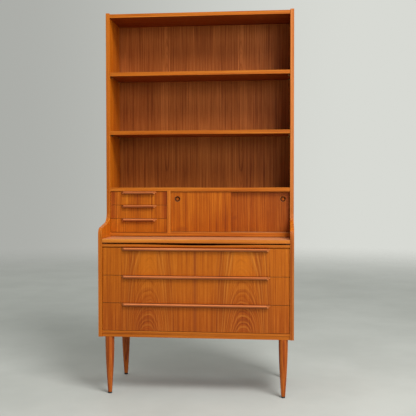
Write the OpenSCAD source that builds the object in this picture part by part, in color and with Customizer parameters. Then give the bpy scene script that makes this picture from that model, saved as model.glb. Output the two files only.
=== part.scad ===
// Secretary bookcase: three long drawers on round legs, a pull-out writing leaf,
// a low box with three small drawers and two sliding doors, and open shelves above.
// Millimetres, +Z up, the front faces -Y. The origin is on the floor, under the
// centre of the whole object. Depths (d) are measured back from the lower front plane.

/* [Case] */
// Width over the two sides
case_w = 920; // [700:10:1200]
// Depth of the lower case, front edge to rear edge
case_d = 410; // [340:5:520]
// Height of the case bottom above the floor
leg_h = 274; // [150:1:340]
// Thickness of the sides
side_t = 18; // [14:1:25]
// Thickness of the fixed boards and loose shelves
board_t = 18; // [14:1:25]
// How far the upper front edges stand behind the lower ones
upper_setback = 172; // [120:1:210]
// Thickness of the two back panels
back_t = 5; // [3:0.5:8]
// Space behind the back panels, inside the rebate
back_inset = 7; // [2:1:12]
// How far the rebate is cut into each side
rebate_w = 8; // [5:1:10]
// Front faces of the two front rails, behind the lower front plane
rail_inset = 3; // [1:0.5:6]
// Front edge of the bottom board, behind the lower front plane
bottom_board_inset = 6; // [2:0.5:12]

/* [Shelves] */
// Clear height of the top compartment
top_bay_h = 267; // [200:1:340]
// Clear height of the middle compartment
middle_bay_h = 269; // [200:1:340]
// Clear height of the compartment above the box
lower_bay_h = 260.5; // [200:0.5:340]
// How far the sides rise above the top board
side_rise = 5; // [0:1:20]
// Front edges of the upper boards, behind the upper front plane
board_inset = 2; // [0:0.5:8]
// Gap at each end of a loose shelf
shelf_end_gap = 0.5; // [0.2:0.1:2]
// Diameter of a shelf pin
pin_dia = 6; // [5:0.5:8]
// Length of a shelf pin outside the side
pin_reach = 10; // [6:1:16]
// Length of a shelf pin inside the side
pin_depth = 9; // [6:1:12]
// Distance of the shelf pins from a shelf's front and rear edges
pin_from_edge = 35; // [20:1:60]

/* [Box] */
// Clear height of the box
box_h = 203; // [165:1:260]
// Width of the small-drawer bay
small_bay_w = 285; // [220:1:340]
// Thickness of the partition
partition_t = 16; // [12:1:20]
// Depth of the partition's housings in the two boards
partition_let = 4; // [2:1:6]

/* [Doors] */
// Thickness of a sliding door
door_t = 12; // [10:1:16]
// How far the two doors overlap when closed
door_lap = 12; // [6:1:30]
// Front face of the front door, behind the upper front plane
door_inset = 9; // [6:1:20]
// Space between the front door and the rear door
door_space = 2; // [1:0.5:5]
// Gap above and below a door's panel, and beside a closed door
door_gap = 1; // [0.5:0.5:2]
// Thickness of a door's tongue
tongue_t = 5; // [4:0.5:7]
// Play of a tongue in its groove, on each side
groove_play = 0.5; // [0.3:0.1:1]
// Width of a track strip in front of the front door and behind the rear door
track_margin = 2; // [1:0.5:4]
// How far a track strip stands out of its board
track_rise = 4; // [3:0.5:6]
// How far the lower track strip is let into its board
lower_track_let = 3; // [2:0.5:5]
// How far the upper track strip is let into its board
upper_track_let = 6; // [4:0.5:8]
// Depth of the grooves in the lower track strip
lower_groove_depth = 5; // [4:0.5:6]
// Depth of the grooves in the upper track strip
upper_groove_depth = 8; // [6:0.5:9]
// Outer diameter of a finger pull
pull_dia = 29; // [24:1:40]
// Depth of a finger pull's pocket in the door
pull_depth = 9; // [6:0.5:9.5]
// Wall and floor thickness of a finger pull
pull_wall = 2; // [1.5:0.5:3]
// Centre of a finger pull from the door's outer edge
pull_from_edge = 33; // [20:1:60]
// Centre of a finger pull below the top of the box
pull_from_top = 38; // [25:1:90]

/* [Writing leaf] */
// Thickness of the leaf
leaf_t = 18; // [15:1:24]
// Gap at each end of the leaf
leaf_end_gap = 1.5; // [0.5:0.5:3]
// Gap between the leaf and the box above it
leaf_top_gap = 2.5; // [1:0.5:5]
// Gap between the leaf and the rail below it
leaf_rail_gap = 6; // [3:0.5:12]
// How far the leaf pulls out
leaf_travel = 240; // [100:5:260]
// Gap between the leaf's rear edge and the back panel
leaf_back_gap = 8; // [3:1:20]
// Width of the runners under the leaf's ends
leaf_runner_w = 20; // [12:1:30]
// Length, width and height of a stop block under the leaf
stop_size = [24, 20, 12];
// Distance of a stop block from the leaf's end
stop_from_end = 50; // [30:5:120]
// Height of the front rail under the leaf
leaf_rail_h = 16; // [12:1:30]
// Thickness of both front rails
rail_t = 20; // [15:1:25]
// Length of the finger scoop in the rail's top edge
scoop_w = 660; // [200:10:680]
// Depth of the finger scoop at its middle
scoop_depth = 5; // [2:0.5:8]
// Height of the bevel along the rail's lower edge
rail_bevel = 5.5; // [2:0.5:8]

/* [Long drawers] */
// Height of a long drawer's front
large_front_h = 129; // [90:1:170]
// Thickness of a long drawer's front
large_front_t = 18; // [15:1:22]
// Front faces behind the lower front plane
large_inset = 5; // [2:0.5:10]
// Gap between neighbouring fronts and rails
front_gap = 2; // [1:0.5:4]
// Length of a long drawer that stays in the case when it is open
large_stay = 63; // [40:1:150]
// Top edges of a long drawer's sides, below its front's top edge
large_side_drop = 22; // [15:1:40]
// Height of the front rail under the drawers
bottom_rail_h = 11; // [8:1:30]
// Length of a long handle at the drawer face
large_handle_w = 700; // [200:10:720]

/* [Small drawers] */
// Thickness of a small drawer's front
small_front_t = 15; // [12:1:20]
// Front faces behind the upper front plane
small_inset = 6; // [2:0.5:12]
// Gap around the small fronts
small_gap = 1.5; // [1:0.5:3]
// Length of a small drawer that stays in the case when it is open
small_stay = 33; // [20:1:80]
// Top edges of a small drawer's sides, below its front's top edge
small_side_drop = 10.5; // [6:0.5:16]
// Length of a small handle at the drawer face
small_handle_w = 178; // [80:1:190]

/* [Drawer boxes] */
// Thickness of the drawer sides and backs
drawer_side_t = 12; // [10:1:14]
// Thickness of a drawer bottom
drawer_bottom_t = 4; // [3:0.5:5]
// Depth of the grooves that hold a drawer bottom
bottom_let = 5; // [4:0.5:6]
// Height of a drawer side's lower edge above its front's lower edge
side_lift = 9; // [5:1:15]
// Height of a drawer bottom above the side's lower edge
bottom_lift = 6; // [4:1:10]
// How far a drawer side is housed in the front
side_let = 6; // [3:1:8]
// Gap between a drawer side and the case
drawer_side_gap = 3; // [2:0.5:5]
// Gap between a drawer and the back panel
drawer_back_gap = 12; // [5:1:20]
// Height of a drawer runner
runner_h = 14; // [10:1:18]
// Play of a runner in the drawer's side groove
runner_play = 0.4; // [0.3:0.1:1]
// Glue line between the sides and the back of a drawer, per side
glue_line = 0.05; // [0.02:0.01:0.1]
// How far a runner enters the drawer side
runner_let = 5; // [3:0.5:6]
// Height of a runner's lower edge above the drawer side's lower edge
runner_lift = 16; // [13:1:40]

/* [Handles] */
// How far a handle stands out from its drawer
handle_d = 16; // [12:0.5:24]
// Height of a handle's front edge
handle_h = 12.5; // [9:0.5:16]
// Thickness of the lip where it meets the drawer
handle_root = 5.5; // [4:0.5:7]
// Thickness of the down-turned nose
handle_nose = 4; // [3:0.5:6]
// Radius of the nose's edges
handle_edge_r = 2; // [1:0.25:2]
// Length of the bevel at each end of a handle, along the drawer
handle_bevel = 15; // [5:1:30]

/* [Side wings] */
// Start of the curved shoulder above the leaf's top face
shoulder_rise = 19; // [8:1:40]
// Radius of the convex shoulder
shoulder_r = 34; // [20:1:50]
// Radius of the concave sweep up to the upper front edge
sweep_r = 50; // [25:1:60]
// Slope of the straight stretch between the two curves, in degrees
wing_slope = 10; // [0:1:20]

/* [Legs] */
// Diameter of a leg at the case
leg_dia = 43; // [36:1:52]
// Diameter of a leg at its glide
leg_tip_dia = 19; // [14:1:30]
// Leg centres from the outer faces of the sides
leg_from_side = 49; // [40:1:120]
// Leg centres from the front and rear planes
leg_from_front = 26; // [26:1:100]
// Height of a glide
glide_h = 6.5; // [3:0.5:12]
// Diameter of a leg's stud
stud_dia = 8; // [6:1:10]
// Length of the stud inside the leg
stud_in_leg = 35; // [20:1:60]
// Length of the stud above the case bottom
stud_in_case = 12; // [8:1:13]
// Diameter of the insert's flange
flange_dia = 24; // [18:1:30]
// Thickness of the insert's flange
flange_t = 2; // [1:0.5:3]
// Wall thickness of the insert's sleeve
sleeve_t = 2.5; // [2:0.5:4]

/* [Dowels] */
// Diameter of a case dowel
dowel_dia = 8; // [6:1:10]
// Length of a case dowel inside the side
dowel_in_side = 11; // [8:1:12]
// Length of a case dowel inside a board
dowel_in_board = 18; // [12:1:30]
// Distance of the outer dowels from a board's front and rear edges
dowel_from_edge = 32; // [20:1:60]
// Fit of dowels, pins, studs and inserts in their holes, per side
hole_fit = 0.1; // [0.05:0.05:0.3]

/* [View] */
// How far the drawers, doors and leaf are drawn open: 0 is closed, 1 is fully open
open_share = 0; // [0:0.05:1]

/* [Hidden] */

$fn = 64;
// How far a cut runs past the surface that it opens
eps = 1;
teak = [0.72, 0.42, 0.16];
teak_edge = [0.80, 0.50, 0.25];
teak_dark = [0.50, 0.26, 0.12];
handle_teak = [0.83, 0.52, 0.34];
beech = [0.80, 0.66, 0.46];
plywood = [0.72, 0.56, 0.36];
steel = [0.62, 0.62, 0.64];
brass = [0.78, 0.62, 0.30];
black = [0.06, 0.06, 0.06];

// Levels of the drawers, counted from below in both stacks
TOP = 2;
MIDDLE = 1;
BOTTOM = 0;
level_count = 3;

// Widths
half_w = case_w / 2;
inner_x = half_w - side_t;
inner_w = 2 * inner_x;
partition_x0 = -inner_x + small_bay_w;
partition_x1 = partition_x0 + partition_t;
door_bay_w = inner_x - partition_x1;
door_w = (door_bay_w + door_lap) / 2 - door_gap;

// Depths behind the lower front plane
lip_out = handle_d - large_inset;
y_front = (lip_out - case_d) / 2;
back_d = case_d - back_inset - back_t;
upper_d = upper_setback;
board_d = upper_d + board_inset;
door_front_d = upper_d + door_inset;
door_rear_d = door_front_d + door_t + door_space;
track_d0 = door_front_d - track_margin;
track_d1 = door_rear_d + door_t + track_margin;
leaf_back_d = back_d - leaf_back_gap;
drawer_back_d = back_d - drawer_back_gap;

// Heights
case_z = leg_h;
floor_z = case_z + board_t;
bottom_rail_z = floor_z + bottom_rail_h;
large_pitch = large_front_h + front_gap;
large_z0 = bottom_rail_z + front_gap;
leaf_rail_z = large_z0 + level_count * large_pitch;
leaf_z = leaf_rail_z + leaf_rail_h + leaf_rail_gap;
leaf_top_z = leaf_z + leaf_t;
box_board_z = leaf_top_z + leaf_top_gap;
box_z = box_board_z + board_t;
box_top_z = box_z + box_h;
lower_bay_z = box_top_z + board_t;
middle_shelf_z = lower_bay_z + lower_bay_h;
upper_shelf_z = middle_shelf_z + board_t + middle_bay_h;
top_board_z = upper_shelf_z + board_t + top_bay_h;
top_z = top_board_z + board_t;
side_top_z = top_z + side_rise;
shoulder_z = leaf_top_z + shoulder_rise;
back_joint_z = box_board_z + board_t / 2;
small_front_h = (box_h - (level_count + 1) * small_gap) / level_count;
small_pitch = small_front_h + small_gap;
small_z0 = box_z + small_gap;
// Gap between a piece and what it stands, slides or stops on
slide_clearance = 0.3;

// How far the moving pieces travel
large_travel = drawer_back_d - large_inset - large_front_t - large_stay;
small_travel = drawer_back_d - upper_d - small_inset - small_front_t - small_stay;
door_travel = door_bay_w - door_w - 2 * door_gap;

// A piece that slides out to the front, drawn as far open as the view asks
module pulled(travel) translate([0, -open_share * travel, 0]) children();

// A block given by its limits: x, depth behind the lower front plane, and z
module block(x0, x1, d0, d1, z0, z1)
    translate([x0, y_front + d0, z0])
        cube([x1 - x0, d1 - d0, z1 - z0]);

// A rod along X
module rod_x(x0, x1, d, z, r)
    translate([x0, y_front + d, z])
        rotate([0, 90, 0])
            cylinder(h = x1 - x0, r = r);

// Puts a piece at the centre of one leg: side is -1 left or 1 right, end is -1 front or 1 back
module at_leg(side, end)
    translate([
        side * (half_w - leg_from_side),
        y_front + case_d / 2 + end * (case_d / 2 - leg_from_front),
        0
    ])
        children();

module at_legs()
    for (side = [-1, 1])
        for (end = [-1, 1])
            at_leg(side, end)
                children();

// ---------- Case ----------

// Rods of all the case dowels; grow widens and lengthens them into holes. Each row
// has its height and the depths of its first and last dowels; the rows in the two
// box boards start behind the door tracks.
module dowel_rods(grow) {
    behind_track = track_d1 + dowel_dia;
    last = back_d - dowel_from_edge;
    rows = [
        [case_z + board_t / 2, bottom_board_inset + dowel_from_edge, last],
        [box_board_z + board_t / 2, behind_track, last],
        [box_top_z + board_t / 2, behind_track, last],
        [top_board_z + board_t / 2, board_d + dowel_from_edge, last]
    ];
    x0 = inner_x - dowel_in_board - grow;
    x1 = inner_x + dowel_in_side + grow;
    for (row = rows)
        for (d = [row[1], (row[1] + row[2]) / 2, row[2]])
            for (side = [0, 1])
                mirror([side, 0, 0])
                    rod_x(x0, x1, d, row[0], dowel_dia / 2 + grow);
}

module case_dowels() color(beech) dowel_rods(0);

// Rods of all the shelf pins; grow widens and lengthens them into holes
module pin_rods(grow) {
    for (z = [middle_shelf_z, upper_shelf_z])
        for (d = [board_d + pin_from_edge, back_d - pin_from_edge])
            for (side = [0, 1])
                mirror([side, 0, 0])
                    rod_x(inner_x - pin_reach, inner_x + pin_depth + grow, d,
                        z - pin_dia / 2 - slide_clearance, pin_dia / 2 + grow);
}

module shelf_pins() color(brass) pin_rods(0);

// Points of an arc about a centre, from one angle to another
function arc(centre, r, a0, a1, steps) =
    [for (i = [0:steps]) let (a = a0 + (a1 - a0) * i / steps) centre + r * [cos(a), sin(a)]];

// Outline of a side: depth behind the lower front plane, and height. The wing runs
// from the convex shoulder, along a short slope, into the concave sweep.
module side_outline() {
    steps = 16;
    sweep_z = shoulder_z + tan(wing_slope) * (upper_d - shoulder_r - sweep_r)
        + (shoulder_r + sweep_r) / cos(wing_slope);
    shoulder = arc([shoulder_r, shoulder_z], shoulder_r, 180, 90 + wing_slope, steps);
    sweep = arc([upper_d - sweep_r, sweep_z], sweep_r, wing_slope - 90, 0, steps);
    polygon(concat(
        [[case_d, case_z], [0, case_z]],
        shoulder,
        sweep,
        [[upper_d, side_top_z], [case_d, side_top_z]]
    ));
}

// The right-hand side; the left-hand one is its mirror image
module side_panel()
    difference() {
        translate([inner_x, y_front, 0])
            rotate([90, 0, 90])
                linear_extrude(height = side_t)
                    side_outline();
        block(inner_x - eps, inner_x + rebate_w, back_d, case_d + eps, case_z - eps, top_z);
        dowel_rods(hole_fit);
        pin_rods(hole_fit);
    }

module side_left() color(teak) mirror([1, 0, 0]) side_panel();
module side_right() color(teak) side_panel();

// A fixed board between the sides, drilled for its dowels
module fixed_board(d0, z)
    difference() {
        block(-inner_x, inner_x, d0, back_d, z, z + board_t);
        dowel_rods(hole_fit);
    }

module loose_shelf(z)
    block(-inner_x + shelf_end_gap, inner_x - shelf_end_gap, board_d, back_d - slide_clearance,
        z, z + board_t);

module partition_block()
    block(partition_x0, partition_x1, board_d, back_d, box_z - partition_let,
        box_top_z + partition_let);

module track_blocks() {
    block(partition_x1, inner_x, track_d0, track_d1, box_z - lower_track_let,
        box_z + track_rise);
    block(partition_x1, inner_x, track_d0, track_d1, box_top_z - track_rise,
        box_top_z + upper_track_let);
}

module top_board() color(teak) fixed_board(board_d, top_board_z);
module upper_shelf() color(teak) loose_shelf(upper_shelf_z);
module middle_shelf() color(teak) loose_shelf(middle_shelf_z);

module box_top_board()
    color(teak)
        difference() {
            fixed_board(board_d, box_top_z);
            partition_block();
            track_blocks();
        }

module box_bottom_board()
    color(teak)
        difference() {
            fixed_board(board_d, box_board_z);
            partition_block();
            track_blocks();
        }

module box_partition() color(teak_edge) partition_block();

module back_panel(z0, z1)
    block(-inner_x - rebate_w + slide_clearance, inner_x + rebate_w - slide_clearance,
        back_d, back_d + back_t, z0, z1);

module upper_back_panel() color(teak_dark) back_panel(back_joint_z, top_z - slide_clearance);
module lower_back_panel() color(teak_dark) back_panel(case_z, back_joint_z);

// Insert seats are drilled upward from the underside of the bottom board
module bottom_board()
    color(teak)
        difference() {
            fixed_board(bottom_board_inset, case_z);
            at_legs() {
                translate([0, 0, case_z - eps])
                    cylinder(h = flange_t + eps, r = flange_dia / 2 + hole_fit);
                translate([0, 0, case_z])
                    cylinder(h = stud_in_case + eps, r = stud_dia / 2 + sleeve_t + 2 * hole_fit);
            }
        }

module bottom_rail()
    color(teak_edge)
        block(-inner_x, inner_x, rail_inset, rail_inset + rail_t, floor_z, bottom_rail_z);

// The rail under the leaf: a long shallow scoop in its top edge gives the fingers
// room to reach the leaf, and its lower front edge is bevelled
module leaf_rail() {
    scoop_steps = 24;
    z1 = leaf_rail_z + leaf_rail_h;
    scoop = [
        for (i = [0:scoop_steps])
            let (u = 2 * i / scoop_steps - 1)
            [u * scoop_w / 2, z1 - scoop_depth * (1 + cos(180 * u)) / 2]
    ];
    color(teak_edge)
        intersection() {
            translate([0, y_front + rail_inset + rail_t, 0])
                rotate([90, 0, 0])
                    linear_extrude(height = rail_t)
                        polygon(concat(
                            [[inner_x, z1], [inner_x, leaf_rail_z]],
                            [[-inner_x, leaf_rail_z], [-inner_x, z1]],
                            scoop
                        ));
            translate([-inner_x, y_front + rail_inset, 0])
                rotate([90, 0, 90])
                    linear_extrude(height = inner_w)
                        polygon([
                            [0, leaf_rail_z + rail_bevel], [rail_bevel, leaf_rail_z],
                            [rail_t, leaf_rail_z], [rail_t, z1], [0, z1]
                        ]);
        }
}

// ---------- Legs ----------

// A leg's radius at a share t of its height: a quarter of a sine wave, so that it
// tapers ever faster towards the glide
function leg_radius(t) = (leg_tip_dia + (leg_dia - leg_tip_dia) * sin(90 * t)) / 2;

module leg_stud_hole()
    translate([0, 0, case_z - stud_in_leg - hole_fit])
        cylinder(h = stud_in_leg + hole_fit + eps, r = stud_dia / 2 + hole_fit);

module leg() {
    steps = 20;
    wood_h = case_z - glide_h;
    color(teak)
        difference() {
            translate([0, 0, glide_h])
                rotate_extrude()
                    polygon(concat(
                        [[0, 0]],
                        [for (i = [0:steps]) [leg_radius(i / steps), wood_h * i / steps]],
                        [[0, wood_h]]
                    ));
            leg_stud_hole();
        }
}

module leg_front_left() at_leg(-1, -1) leg();
module leg_front_right() at_leg(1, -1) leg();
module leg_back_left() at_leg(-1, 1) leg();
module leg_back_right() at_leg(1, 1) leg();

module leg_glides() color(black) at_legs() cylinder(h = glide_h, r = leg_tip_dia / 2);

module leg_studs()
    color(steel)
        at_legs()
            translate([0, 0, case_z - stud_in_leg])
                cylinder(h = stud_in_leg + stud_in_case, r = stud_dia / 2);

module leg_inserts()
    color(steel)
        at_legs()
            translate([0, 0, case_z])
                difference() {
                    union() {
                        cylinder(h = flange_t, r = flange_dia / 2);
                        cylinder(h = stud_in_case, r = stud_dia / 2 + sleeve_t + hole_fit);
                    }
                    translate([0, 0, -eps])
                        cylinder(h = stud_in_case + 2 * eps, r = stud_dia / 2 + hole_fit);
                }

// ---------- Writing leaf ----------

module writing_leaf()
    color(teak)
        pulled(leaf_travel)
            block(-inner_x + leaf_end_gap, inner_x - leaf_end_gap, 0, leaf_back_d, leaf_z,
                leaf_top_z);

// Two blocks under the leaf meet the rear face of the rail when the leaf is out
module leaf_stops() {
    stop_d = rail_inset + rail_t + leaf_travel + 2 * slide_clearance;
    x1 = inner_x - stop_from_end;
    color(beech)
        pulled(leaf_travel)
            for (side = [0, 1])
                mirror([side, 0, 0])
                    block(x1 - stop_size[0], x1, stop_d, stop_d + stop_size[1],
                        leaf_z - stop_size[2], leaf_z);
}

module leaf_runners()
    color(beech)
        for (side = [0, 1])
            mirror([side, 0, 0])
                block(inner_x - leaf_runner_w, inner_x, rail_inset + rail_t, back_d,
                    leaf_rail_z, leaf_z - slide_clearance);

// ---------- Sliding doors ----------

groove_w = tongue_t + 2 * groove_play;
door_z0 = box_z + track_rise + door_gap;
door_z1 = box_top_z - track_rise - door_gap;
tongue_z0 = box_z + track_rise - lower_groove_depth + slide_clearance;
tongue_z1 = door_z1 + door_gap + lower_groove_depth / 2;
pull_z = box_top_z - pull_from_top;
left_pull_x = partition_x1 + door_gap + pull_from_edge;
right_pull_x = inner_x - door_gap - pull_from_edge;

// A round pocket or plug in a door's front face
module pull_plug(x, d, depth, r)
    translate([x, y_front + d + depth, pull_z])
        rotate([90, 0, 0])
            cylinder(h = depth, r = r);

module sliding_door(x0, d0, pull_x) {
    tongue_d0 = d0 + (door_t - tongue_t) / 2;
    difference() {
        union() {
            block(x0, x0 + door_w, d0, d0 + door_t, door_z0, door_z1);
            block(x0, x0 + door_w, tongue_d0, tongue_d0 + tongue_t, tongue_z0, tongue_z1);
        }
        translate([0, -eps, 0])
            pull_plug(pull_x, d0, pull_depth + eps, pull_dia / 2 + hole_fit);
    }
}

// A turned dish that lines the pocket in a door
module door_pull(x, d0)
    difference() {
        pull_plug(x, d0, pull_depth, pull_dia / 2);
        translate([0, -eps, 0])
            pull_plug(x, d0, pull_depth - pull_wall + eps, pull_dia / 2 - pull_wall);
    }

// A piece that slides along the box, towards +X for 1 and -X for -1
module aside(sign) translate([sign * open_share * door_travel, 0, 0]) children();

module door_left()
    color(teak)
        aside(1)
            sliding_door(partition_x1 + door_gap, door_front_d, left_pull_x);

module door_right()
    color(teak)
        aside(-1)
            sliding_door(inner_x - door_gap - door_w, door_rear_d, right_pull_x);

module door_pull_left() color(teak_dark) aside(1) door_pull(left_pull_x, door_front_d);
module door_pull_right() color(teak_dark) aside(-1) door_pull(right_pull_x, door_rear_d);

// A strip with one groove for each door, cut from z0 to z1
module track_strip(z0, z1, groove_z0, groove_z1)
    difference() {
        block(partition_x1, inner_x, track_d0, track_d1, z0, z1);
        for (d = [door_front_d, door_rear_d])
            block(partition_x1 - eps, inner_x + eps, d + (door_t - groove_w) / 2,
                d + (door_t + groove_w) / 2, groove_z0, groove_z1);
    }

module door_track_lower()
    color(teak_edge)
        track_strip(
            box_z - lower_track_let, box_z + track_rise,
            box_z + track_rise - lower_groove_depth, box_z + track_rise + eps
        );

module door_track_upper()
    color(teak_edge)
        track_strip(
            box_top_z - track_rise, box_top_z + upper_track_let,
            box_top_z - track_rise - eps, box_top_z - track_rise + upper_groove_depth
        );

// ---------- Drawers ----------
// A drawer is described by its bay [x0, x1], its front [d, z, thickness, height],
// the gap at each end of the front, and the drop of its sides below the front's top.

large_bay = [-inner_x, inner_x];
function large_face(level) =
    [large_inset, large_z0 + level * large_pitch, large_front_t, large_front_h];
small_bay = [-inner_x, partition_x0];
function small_face(level) =
    [upper_d + small_inset, small_z0 + level * small_pitch, small_front_t, small_front_h];

// The bottom's grooves in the front and sides take the bottom's own block
module drawer_bottom(bay, face) {
    inner_gap = drawer_side_gap + drawer_side_t - bottom_let;
    z = face[1] + side_lift + bottom_lift;
    block(bay[0] + inner_gap, bay[1] - inner_gap, face[0] + face[2] - bottom_let,
        drawer_back_d, z, z + drawer_bottom_t);
}

module drawer_sides_plain(bay, face, side_drop) {
    z = face[1] + side_lift;
    for (x = [bay[0] + drawer_side_gap, bay[1] - drawer_side_gap - drawer_side_t])
        block(x, x + drawer_side_t, face[0] + face[2] - side_let,
            drawer_back_d, z, face[1] + face[3] - side_drop);
}

// Runners on both walls of a bay; play widens them into the grooves
module bay_runners(bay, face, play) {
    z = face[1] + side_lift + runner_lift;
    reach = drawer_side_gap + runner_let + play;
    d0 = face[0] + face[2] + slide_clearance - play;
    for (x = [bay[0], bay[1] - reach])
        block(x, x + reach, d0, back_d + play, z - play, z + runner_h + play);
}

module drawer_sides(bay, face, side_drop)
    difference() {
        drawer_sides_plain(bay, face, side_drop);
        drawer_bottom(bay, face);
        bay_runners(bay, face, runner_play);
    }

module drawer_back(bay, face, side_drop) {
    inner_gap = drawer_side_gap + drawer_side_t + glue_line;
    z0 = face[1] + side_lift + bottom_lift + drawer_bottom_t;
    block(bay[0] + inner_gap, bay[1] - inner_gap, drawer_back_d - drawer_side_t,
        drawer_back_d, z0, face[1] + face[3] - side_drop);
}

module drawer_front(bay, face, end_gap, side_drop)
    difference() {
        block(bay[0] + end_gap, bay[1] - end_gap, face[0], face[0] + face[2],
            face[1], face[1] + face[3]);
        drawer_sides_plain(bay, face, side_drop);
        drawer_bottom(bay, face);
    }

// A lip handle along the front's top edge: a shelf with a rounded, down-turned nose,
// hollow underneath for the fingertips, and both ends bevelled in plan
module drawer_handle(bay, face, width) {
    steps = 6;
    nose_r = handle_edge_r;
    hollow_r = handle_h - handle_root;
    profile = concat(
        [[0, 0], [0, -handle_root]],
        arc([-handle_d + handle_nose + hollow_r, -handle_h], hollow_r, 90, 180, steps),
        arc([-handle_d + nose_r, nose_r - handle_h], nose_r, 270, 180, steps),
        arc([-handle_d + nose_r, -nose_r], nose_r, 180, 90, steps)
    );
    translate([(bay[0] + bay[1]) / 2, y_front + face[0], face[1] + face[3]])
        intersection() {
            translate([-width / 2, 0, 0])
                rotate([90, 0, 90])
                    linear_extrude(height = width)
                        polygon(profile);
            translate([0, 0, -handle_h])
                linear_extrude(height = handle_h)
                    polygon([
                        [-width / 2, 0], [-width / 2 + handle_bevel, -handle_d],
                        [width / 2 - handle_bevel, -handle_d], [width / 2, 0]
                    ]);
        }
}

module large_front(level)
    color(teak)
        pulled(large_travel)
            drawer_front(large_bay, large_face(level), front_gap, large_side_drop);

module large_handle(level)
    color(handle_teak)
        pulled(large_travel)
            drawer_handle(large_bay, large_face(level), large_handle_w);

module large_sides(level)
    color(beech)
        pulled(large_travel)
            drawer_sides(large_bay, large_face(level), large_side_drop);

module large_back(level)
    color(beech)
        pulled(large_travel)
            drawer_back(large_bay, large_face(level), large_side_drop);

module large_bottom(level)
    color(plywood)
        pulled(large_travel)
            drawer_bottom(large_bay, large_face(level));

module small_front(level)
    color(teak)
        pulled(small_travel)
            drawer_front(small_bay, small_face(level), small_gap, small_side_drop);

module small_handle(level)
    color(handle_teak)
        pulled(small_travel)
            drawer_handle(small_bay, small_face(level), small_handle_w);

module small_carcass(level)
    color(beech)
        pulled(small_travel) {
            drawer_sides(small_bay, small_face(level), small_side_drop);
            drawer_back(small_bay, small_face(level), small_side_drop);
        }

module small_bottom(level)
    color(plywood)
        pulled(small_travel)
            drawer_bottom(small_bay, small_face(level));

module large_drawer_runners()
    color(beech)
        for (level = [BOTTOM:TOP])
            bay_runners(large_bay, large_face(level), 0);

module small_drawer_runners()
    color(beech)
        for (level = [BOTTOM:TOP])
            bay_runners(small_bay, small_face(level), 0);

// ---------- Assembly ----------

side_left();
side_right();
top_board();
upper_shelf();
middle_shelf();
shelf_pins();
box_top_board();
box_bottom_board();
box_partition();
upper_back_panel();
lower_back_panel();
leaf_rail();
bottom_rail();
bottom_board();
leaf_runners();
large_drawer_runners();
small_drawer_runners();
door_track_lower();
door_track_upper();
leg_front_left();
leg_front_right();
leg_back_left();
leg_back_right();
leg_glides();
leg_inserts();
leg_studs();
case_dowels();
writing_leaf();
leaf_stops();
door_left();
door_right();
door_pull_left();
door_pull_right();
large_front(TOP);  // large_drawer_top_front
large_handle(TOP);  // large_drawer_top_handle
large_sides(TOP);  // large_drawer_top_sides
large_back(TOP);  // large_drawer_top_back
large_bottom(TOP);  // large_drawer_top_bottom
large_front(MIDDLE);  // large_drawer_middle_front
large_handle(MIDDLE);  // large_drawer_middle_handle
large_sides(MIDDLE);  // large_drawer_middle_sides
large_back(MIDDLE);  // large_drawer_middle_back
large_bottom(MIDDLE);  // large_drawer_middle_bottom
large_front(BOTTOM);  // large_drawer_bottom_front
large_handle(BOTTOM);  // large_drawer_bottom_handle
large_sides(BOTTOM);  // large_drawer_bottom_sides
large_back(BOTTOM);  // large_drawer_bottom_back
large_bottom(BOTTOM);  // large_drawer_bottom_bottom
small_front(TOP);  // small_drawer_top_front
small_handle(TOP);  // small_drawer_top_handle
small_carcass(TOP);  // small_drawer_top_carcass
small_bottom(TOP);  // small_drawer_top_bottom
small_front(MIDDLE);  // small_drawer_middle_front
small_handle(MIDDLE);  // small_drawer_middle_handle
small_carcass(MIDDLE);  // small_drawer_middle_carcass
small_bottom(MIDDLE);  // small_drawer_middle_bottom
small_front(BOTTOM);  // small_drawer_bottom_front
small_handle(BOTTOM);  // small_drawer_bottom_handle
small_carcass(BOTTOM);  // small_drawer_bottom_carcass
small_bottom(BOTTOM);  // small_drawer_bottom_bottom
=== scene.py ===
import math

import bmesh
import bpy
from mathutils import Matrix, Vector


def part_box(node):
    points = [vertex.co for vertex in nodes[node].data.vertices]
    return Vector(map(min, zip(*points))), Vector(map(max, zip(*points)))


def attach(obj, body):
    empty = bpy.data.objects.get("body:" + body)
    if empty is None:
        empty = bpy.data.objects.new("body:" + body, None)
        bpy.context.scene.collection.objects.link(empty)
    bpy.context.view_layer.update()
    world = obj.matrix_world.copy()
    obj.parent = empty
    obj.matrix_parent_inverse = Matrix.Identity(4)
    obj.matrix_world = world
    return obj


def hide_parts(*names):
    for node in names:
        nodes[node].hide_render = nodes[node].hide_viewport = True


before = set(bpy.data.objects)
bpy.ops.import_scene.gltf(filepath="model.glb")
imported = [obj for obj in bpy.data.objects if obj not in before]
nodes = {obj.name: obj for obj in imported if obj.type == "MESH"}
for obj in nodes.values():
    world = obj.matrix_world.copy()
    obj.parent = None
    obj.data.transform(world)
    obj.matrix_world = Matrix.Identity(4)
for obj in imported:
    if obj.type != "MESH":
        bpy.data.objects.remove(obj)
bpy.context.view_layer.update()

LEVELS = ("top", "middle", "bottom")
LEGS = ("leg_front_left", "leg_front_right", "leg_back_left", "leg_back_right")


def middle(name):
    """The middle of a CAD node's box."""
    low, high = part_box(name)
    return (low.x + high.x) / 2, (low.y + high.y) / 2, (low.z + high.z) / 2


# Front plane of the case
CASE_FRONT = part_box("side_left")[0].y
# Depth of the front lip on the lower door track
TRACK_LIP = 0.0025
# Radius of a glide, and of the leg's tip above it
TIP_R = middle("leg_front_left")[0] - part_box("leg_glides")[0].x


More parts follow.
